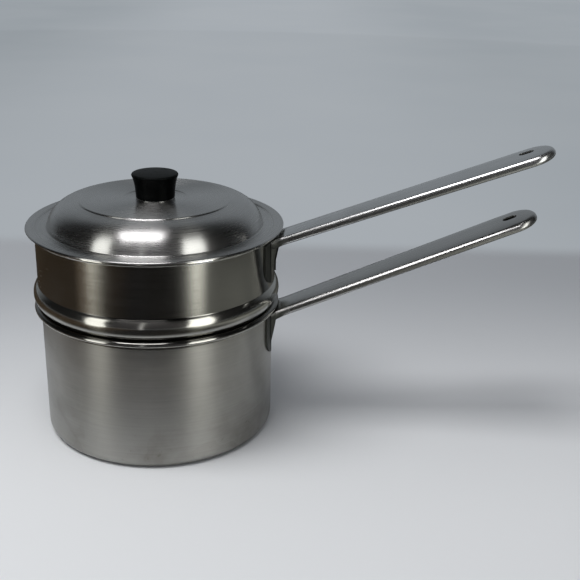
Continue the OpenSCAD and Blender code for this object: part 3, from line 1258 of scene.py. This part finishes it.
@dataclass(kw_only=True)
class Handle:
    """One stamped handle: crowned channel that widens to a rounded nose, and its bracket on the pan.

    Distances along the handle start at root_r, just outside the pan's wall.
    """

    node: str
    body: Body
    wall_r: float
    root_z: float
    tilt: float
    turn: float = 0.0
    tone: Colour
    facet_turn: tuple[float, float]
    group: str = ""
    root_r: float = 0.084
    length: float = 0.194
    half_w0: float = 0.0121
    half_w1: float = 0.0154
    depth: float = 0.0071
    crown: float = 0.044
    sheet: float = 0.0012
    side_bend: float = 0.0012
    facet: float = 0.0060
    nose_bend: float = 0.0032
    lip_bend: float = 0.0017
    lip: float = 0.0024
    slot_l: float = 0.010
    slot_w: float = 0.006
    ear_w: float = 0.0243
    fold_w: float = 0.0150
    wall_out: float = 0.0034
    wall_drop: float = 0.0250
    toe_drop: float = 0.0320
    ear_side: float = 0.0160
    flare_in: float = 0.0026
    flare_run: float = 0.0095
    nose_run: float = 0.012
    slot_back: float = 0.0025
    edge_break: float = 0.00022

    @property
    def nose_s(self) -> float:
        """How far along the handle the nose's middle lies."""
        return self.length - self.half_w1

    def _flare(self, s: float) -> float:
        """How far the sides are bent outwards near the pan, at a place along the handle."""
        near = 1 - min(1.0, max(0.0, (s + self.flare_in) / self.flare_run))
        return (self.fold_w - self.half_w0) * near * near

    def _section(self, s: float) -> list[Point]:
        """Returns half of the channel's section, open along the middle.

        Args:
            s: How far along the handle the section lies.

        Returns:
            Points as distance from the middle and height, out on the top face and back on the underside.
        """
        half = self.sheet / 2
        shift = (self.half_w1 - self.half_w0) * max(0.0, s) / self.nose_s + self._flare(s)
        ease = min(1.0, max(0.0, (s - self.nose_s + self.nose_run) / self.nose_run))
        ease = ease * ease * (3 - 2 * ease)
        bend = self.side_bend + (self.nose_bend - self.side_bend) * ease
        facet = self.facet + (self.nose_bend - self.facet) * ease
        crown = self.crown - half
        first, second = (math.radians(a) for a in self.facet_turn)
        sides = bend - (facet - bend) * (math.sin(first) - math.sin(second))
        lean = math.asin((self.half_w0 - half - sides) / (crown - bend))
        low = -self.depth + half
        edge_y = shift + self.half_w0 - half - self.lip_bend
        middles = [(shift, -half - crown)]
        for turn, grow in ((lean, crown - bend), (first, bend - facet), (second, facet - bend)):
            y, n = middles[-1]
            middles.append((y + grow * math.sin(turn), n + grow * math.cos(turn)))
        turns = [0.0, -math.degrees(lean), -self.facet_turn[0], -self.facet_turn[1], -90.0]
        bends = zip(middles, (crown, bend, facet, bend), turns, turns[1:], (8, 4, 4, 6))
        path = [(Bend(*middle, radius, enter, leave), count) for middle, radius, enter, leave, count in bends]
        path += [
            (Bend(edge_y, low + self.lip_bend, self.lip_bend, -90, -180), 9),
            (Bend(edge_y - self.lip, low, 0.0, -180, -180), 0),
        ]
        outer = [(0.0, 0.0)] + [p for b, n in path for p in b.points(-half, count=n)]
        inner = [(0.0, -self.sheet)] + [p for b, n in path for p in b.points(half, count=n)]
        return outer + inner[::-1]

    def _channel_half(self) -> bmesh.types.BMesh:
        """Makes one half of the channel and of the nose.

        Returns:
            Its mesh, open along the middle and at the pan.
        """
        bm = bmesh.new()
        tilt = math.radians(self.tilt)
        stations = [-self.flare_in, -0.0012, 0.0004, 0.0022, 0.0042, 0.0069, 0.0100, 0.03, 0.09, 0.15]
        stations += [self.nose_s - self.nose_run + self.nose_run / 8 * i for i in range(9)]
        row = []
        for y, n in self._section(stations[0]):
            reach = math.sqrt((self.wall_r - 0.0003) ** 2 - y * y)
            s = (reach - self.root_r + n * math.sin(tilt)) / math.cos(tilt)
            row.append(bm.verts.new((s, y, n)))
        edges = [bm.edges.new(pair) for pair in zip(row, row[1:])]
        for s in stations[1:]:
            grown = bmesh.ops.extrude_edge_only(bm, edges=edges)["geom"]
            new = [v for v in grown if isinstance(v, bmesh.types.BMVert)]
            edges = [e for e in grown if isinstance(e, bmesh.types.BMEdge)]
            order = self._in_order(new, row)
            for vert, (y, n) in zip(order, self._section(s)):
                vert.co = (s, y, n)
            row = order
        bmesh.ops.spin(
            bm, geom=row + edges, cent=(self.nose_s, 0, 0), axis=(0, 0, 1), angle=-math.pi / 2, steps=20
        )
        return bm

    @staticmethod
    def _in_order(new: list[bmesh.types.BMVert], row: list[bmesh.types.BMVert]) -> list[bmesh.types.BMVert]:
        """Sorts freshly extruded points like the row that they came from.

        Args:
            new: The new points, still in the places of the old ones.
            row: The old row, in order.

        Returns:
            The new points in the order of the row.
        """
        partner = {}
        fresh = set(new)
        for vert in row:
            for edge in vert.link_edges:
                other = edge.other_vert(vert)
                if other in fresh:
                    partner[vert] = other
        return [partner[vert] for vert in row]

    def _plate(self, outline: list[Point], slices: list[float], place: Bender) -> bmesh.types.BMesh:
        """Makes a bent plate from a flat outline.

        Args:
            outline: The plate's outline in its own two directions.
            slices: Where it is cut across its first direction, so that it can bend.
            place: Gives the place of a point from its two directions and its depth in the sheet, 0 or 1.

        Returns:
            A closed mesh in the pan's frame, before the turn round the pan.
        """
        bm = bmesh.new()
        face = bm.faces.new([bm.verts.new((u, v, 0.0)) for u, v in outline])
        for u in slices:
            everything = bm.verts[:] + bm.edges[:] + bm.faces[:]
            bmesh.ops.bisect_plane(bm, geom=everything, plane_co=(u, 0, 0), plane_no=(1, 0, 0))
        grown = bmesh.ops.extrude_face_region(bm, geom=bm.faces[:])["geom"]
        for vert in grown:
            if isinstance(vert, bmesh.types.BMVert):
                vert.co.z = 1.0
        for vert in bm.verts:
            vert.co = place(vert.co.x, vert.co.y, vert.co.z)
        bmesh.ops.recalc_face_normals(bm, faces=bm.faces)
        rim = [e for e in bm.edges if len(e.link_faces) == 2 and e.calc_face_angle(0.0) > math.radians(50)]
        bmesh.ops.bevel(
            bm, geom=rim, offset=self.edge_break, offset_type="OFFSET", affect="EDGES", segments=2,
            profile=0.5, material=-1,
        )
        soften(bm)
        return bm

    def _side_wall(self, sign: int) -> bmesh.types.BMesh:
        """Makes one side wall of the bracket, below the channel's own side.

        Args:
            sign: 1 for one side and -1 for the other.

        Returns:
            A closed mesh.
        """
        start, end = self.wall_r - self.sheet, 0.0905
        under = self.root_z + (end - self.root_r) * math.tan(math.radians(self.tilt))
        side = 0.0068
        outline = [
            (start, self.root_z - self.wall_drop),
            (start, self.root_z - 0.0035),
            (end, under - 0.0030),
            (end, under - 0.0072),
        ]
        for i in range(15):
            u = i / 14
            outline.append((
                self.wall_r + self.wall_out * (1 - u ** 1.1), self.root_z - side - (self.wall_drop - side) * u
            ))

        def place(x: float, z: float, depth: float) -> Vector:
            """Bends the wall outwards where it meets the pan."""
            half = self.half_w0 + self._flare((x - self.root_r) / math.cos(math.radians(self.tilt)))
            return Vector((x, sign * (half - self.sheet * (1 - depth)), z))

        return self._plate(outline[::-1], [self.wall_r + 0.0011 * i for i in range(8)], place)

    def _ear(self, sign: int) -> bmesh.types.BMesh:
        """Makes one ear of the bracket, flat on the pan's round wall.

        Args:
            sign: 1 for one side and -1 for the other.

        Returns:
            A closed mesh.
        """
        top = self.root_z - 0.0015
        low = top - self.ear_side
        toe = self.root_z - self.toe_drop
        soft, toe_w, toe_in = 0.002, 0.0124, 0.0114
        inner = self.fold_w - 0.0008
        outline = [(inner, top), (self.ear_w - soft, top)]
        for a in (60, 30, 0):
            angle = math.radians(a)
            outline.append((self.ear_w - soft + soft * math.cos(angle), top - soft + soft * math.sin(angle)))
        for i in range(13):
            u = i / 12
            fall = 0.35 * u + 0.65 * math.sin(math.pi / 2 * u)
            outline.append((self.ear_w - (self.ear_w - toe_w) * u ** 1.8, low + (toe - low) * fall))
        outline += [
            (toe_in, toe + 0.0007), (toe_in, self.root_z - self.wall_drop + 0.0005),
            (inner, self.root_z - self.wall_drop + 0.0025),
        ]

        def place(y: float, z: float, depth: float) -> Vector:
            """Wraps the ear on the pan's wall."""
            sunk = 0.0001
            radius = self.wall_r - sunk + (self.sheet + sunk) * depth
            return Vector((math.sqrt(radius * radius - y * y), sign * y, z))

        return self._plate(outline, [0.012 + 0.0012 * i for i in range(11)], place)

    def _slot(self) -> bmesh.types.BMesh:
        """Makes what cuts the hanging slot: a circle, drawn apart into an oblong and raised.

        Returns:
            A closed mesh.
        """
        bm = bmesh.new()
        bmesh.ops.create_circle(bm, cap_ends=True, segments=64, radius=self.slot_w / 2)
        run = (self.slot_l - self.slot_w) / 2
        for vert in bm.verts:
            vert.co.x += math.copysign(run, vert.co.x) + self.nose_s - self.slot_back
            vert.co.z = -0.006
        grown = bmesh.ops.extrude_face_region(bm, geom=bm.faces[:])["geom"]
        top = [v for v in grown if isinstance(v, bmesh.types.BMVert)]
        bmesh.ops.translate(bm, vec=(0, 0, 0.010), verts=top)
        bmesh.ops.recalc_face_normals(bm, faces=bm.faces)
        return bm

    def _finish(self) -> SteelFinish:
        """Returns the handle's steel, with its grain along the handle, painted shade under its channel and on
        its bracket, and a painted shadow line in the bracket's fold.

        Returns:
            The finish.
        """
        tilt, turn = math.radians(self.tilt), math.radians(self.turn)
        hollow = ChannelShade(
            self.root_r * math.cos(tilt) + self.root_z * math.sin(tilt),
            self.root_z * math.cos(tilt) - self.root_r * math.sin(tilt),
            self.nose_s, self.half_w0, self.half_w1, self.crown, self.sheet,
        )
        bracket_shade = BracketShade(self.root_r, self.root_z, tilt, turn, self.wall_r, self.fold_w, self.sheet)
        return SteelFinish(
            f"{self.node}_steel", self.tone, (0.36, 0.36, 0.35), 0.25, Grain.ALONG,
            line_depth=1.0e-7, wave_depth=8.0e-7, stain=0.3, turn=turn, tilt=tilt,
            hollow=hollow, bracket_shade=bracket_shade,
        )

    def build(self) -> bpy.types.Object:
        """Builds and dresses the handle.

        Returns:
            The piece.
        """
        bm = self._channel_half()
        mirrored = bm.copy()
        bmesh.ops.scale(mirrored, vec=(1, -1, 1), verts=mirrored.verts)
        merge(bm, mirrored)
        bmesh.ops.remove_doubles(bm, verts=bm.verts, dist=2e-6)
        bmesh.ops.holes_fill(bm, edges=[e for e in bm.edges if e.is_boundary], sides=0)
        bmesh.ops.recalc_face_normals(bm, faces=bm.faces)
        bm = cut(bm, self._slot())
        root = Matrix.Translation((self.root_r, 0, self.root_z))
        rise = root @ Matrix.Rotation(math.radians(-self.tilt), 4, "Y")
        bmesh.ops.transform(bm, matrix=rise, verts=bm.verts)
        for sign in (-1, 1):
            merge(bm, self._side_wall(sign))
            merge(bm, self._ear(sign))
        turned = Matrix.Rotation(math.radians(self.turn), 3, "Z")
        bmesh.ops.rotate(bm, cent=(0, 0, 0), matrix=turned, verts=bm.verts)
        piece = add_piece(
            f"{self.node}_stamping", bm, self._finish().build(), self.body, "handle_steel", self.node
        )
        if self.group:
            bpy.data.collections[self.group].objects.link(piece)
        return piece


# Studio


@dataclass(frozen=True)
class Panel:
    """One soft light: the middles of its two short sides, its width and how brightly it glows.

    Most are only mirrored. One that names a group of pieces lights that group alone.
    """

    name: str
    foot: Place
    head: Place
    width: float
    glow: float
    tint: Colour = (1.0, 1.0, 1.0)
    mirrored: bool = True
    lighting: bool = False
    group: str = ""

    def build(self, target: Vector) -> bpy.types.Object:
        """Makes the light and turns it to the target.

        Args:
            target: What the light faces.

        Returns:
            The light.
        """
        foot, head = Vector(self.foot), Vector(self.head)
        length = (head - foot).length
        data = bpy.data.lights.new(self.name, "AREA")
        data.shape, data.size, data.size_y = "RECTANGLE", self.width, length
        data.energy, data.color = self.glow * math.pi * self.width * length, self.tint
        light = bpy.data.objects.new(self.name, data)
        bpy.context.scene.collection.objects.link(light)
        up = (head - foot).normalized()
        middle = (foot + head) / 2
        side = up.cross(middle - target).normalized()
        aim = Matrix((side, up, side.cross(up))).transposed()
        light.matrix_world = Matrix.Translation(middle) @ aim.to_4x4()
        light.visible_camera = False
        light.visible_glossy = self.mirrored
        light.visible_diffuse = self.lighting
        if self.group:
            light.light_linking.receiver_collection = bpy.data.collections.new(self.group)
        return light


@dataclass
class Studio:
    """The table, the lights, the glow all round and the camera, where the photograph was taken from."""

    image_px: float = 580.0
    focal_px: float = 950.0
    camera_at: tuple[float, float, float] = (0.09467, -0.63537, 0.34916)
    pitch: float = 0.3728
    roll: float = 0.0239
    sensor: float = 36.0
    table_size: float = 12.0
    ring_in: float = 0.1
    ring_out: float = 2.6
    ring_z: float = 0.003
    glow_seen: Colour = (0.34, 0.35, 0.37)
    glow_front: Colour = (0.050, 0.048, 0.050)
    glow_sides: Colour = (0.012, 0.012, 0.012)
    glow_back: Colour = (0.25, 0.27, 0.29)
    target: Place = (0.0, 0.0, 0.10)
    panels: tuple[Panel, ...] = (
        Panel("left_strip", (-0.923, -0.892, 0.01), (-1.090, -0.655, 1.64), 0.42, 1.9, (1.0, 1.0, 0.96)),
        Panel("right_strip", (0.874, -0.937, 0.01), (1.043, -0.730, 1.64), 0.54, 2.3, (1.0, 1.0, 0.96)),
        Panel("ceiling", (-0.60, -0.35, 1.5), (0.16, -0.35, 1.5), 0.66, 6.0, (1.0, 0.98, 1.0)),
        Panel(
            "handle_light", (-0.78, -1.3, 1.5), (0.0, -1.3, 1.5), 0.42, 6.0, (1.0, 0.98, 1.0),
            group=LOWER_HANDLE_GROUP,
        ),
        Panel("middle_strip", (-0.14, -1.2, 0.05), (-0.14, -1.0, 1.3), 0.05, 0.7),
        Panel(
            "table_light", (-1.05, -0.33, 1.5), (0.11, -0.33, 1.5), 0.60, 9.0, mirrored=False, lighting=True
        ),
    )

    @staticmethod
    def _stand(name: str, bm: bmesh.types.BMesh, material: bpy.types.Material) -> bpy.types.Object:
        """Turns a mesh into a part of the studio, which is no part of the object.

        Args:
            name: Its name.
            bm: Its mesh. It is freed.
            material: Its finish.

        Returns:
            The studio's part.
        """
        mesh = bpy.data.meshes.new(name)
        bm.to_mesh(mesh)
        bm.free()
        mesh.materials.append(material)
        stand = bpy.data.objects.new(name, mesh)
        bpy.context.scene.collection.objects.link(stand)
        return stand

    def _table(self) -> None:
        """Makes the table top."""
        bm = bmesh.new()
        bmesh.ops.create_grid(bm, x_segments=1, y_segments=1, size=self.table_size)
        self._stand("table_top", bm, FloorFinish().build())

    def _ring(self) -> None:
        """Lays a dark ring round the pans, which only reflections show."""
        bm = bmesh.new()
        ends = [bm.verts.new((x, 0.0, self.ring_z)) for x in (self.ring_in, self.ring_out)]
        edge = bm.edges.new(ends)
        bmesh.ops.spin(
            bm, geom=ends + [edge], cent=(0, 0, 0), axis=(0, 0, 1), angle=math.tau, steps=64, use_merge=True
        )
        ring = self._stand("dark_ring", bm, RingFinish().build())
        ring.visible_camera = ring.visible_diffuse = ring.visible_shadow = False

    def _surround(self) -> None:
        """Sets the glow all round: pale for the camera and the table, darker where the steel mirrors it."""
        world = bpy.data.worlds.new("surround")
        g = Graph(world)
        _, depth, _ = g.split(g.node("ShaderNodeTexCoord", out="Generated"))
        front = g.blend(depth.ease(-0.62, -0.86), self.glow_sides, self.glow_front)
        mirrored = g.blend(depth.ease(0.35, 0.85), front, self.glow_back)
        glossy = g.node("ShaderNodeLightPath", out="Is Glossy Ray")
        glow = g.blend(glossy, self.glow_seen, mirrored)
        g.end("ShaderNodeOutputWorld", g.node("ShaderNodeBackground", {}, {"Color": glow}))
        bpy.context.scene.world = world

    def _camera(self) -> None:
        """Sets the camera where the photograph was taken from."""
        data = bpy.data.cameras.new("camera")
        data.sensor_width = self.sensor
        data.lens = self.focal_px / self.image_px * self.sensor
        data.clip_start, data.clip_end = 0.01, 50.0
        camera = bpy.data.objects.new("camera", data)
        bpy.context.scene.collection.objects.link(camera)
        ahead = Vector((0.0, math.cos(self.pitch), -math.sin(self.pitch)))
        right = Vector((1.0, 0.0, 0.0))
        up = right.cross(ahead)
        tilted_right = right * math.cos(self.roll) + up * math.sin(self.roll)
        tilted_up = up * math.cos(self.roll) - right * math.sin(self.roll)
        camera.matrix_world = Matrix.Translation(self.camera_at) @ Matrix(
            (tilted_right, tilted_up, -ahead)
        ).transposed().to_4x4()
        bpy.context.scene.camera = camera

    def build(self) -> None:
        """Makes the whole studio."""
        self._camera()
        self._table()
        self._ring()
        self._surround()
        for panel in self.panels:
            panel.build(Vector(self.target))
        bpy.context.scene.view_settings.view_transform = "Standard"


def main() -> None:
    """Builds the studio and every piece, and reports each."""
    logging.basicConfig(level=logging.INFO, format="%(name)s: %(message)s")
    Studio().build()
    lower = LowerPan()
    upper = UpperPan(below=lower)
    lid = Lid(below=upper)
    pieces = [part.build() for part in (lower, upper, lid)]
    pieces += Knob(lid).build()
    handles = (
        # Both handles are the same steel; their different tones are painted light and shade, the upper
        # lighter and the lower darker.
        Handle(
            node="lower_handle", body=lower.body, wall_r=lower.wall_r, root_z=lower.height - 0.0054,
            tilt=22.9, tone=(0.50, 0.50, 0.49), facet_turn=(50.0, 60.0), group=LOWER_HANDLE_GROUP,
        ),
        Handle(
            node="upper_handle", body=upper.body, wall_r=upper.wall_r, root_z=upper.height - 0.00375,
            tilt=21.4, turn=-5.5, tone=(0.66, 0.67, 0.67), facet_turn=(43.0, 49.5),
        ),
    )
    pieces += [handle.build() for handle in handles]
    log.info("%d pieces", len(pieces))


if __name__ == "__main__":
    main()
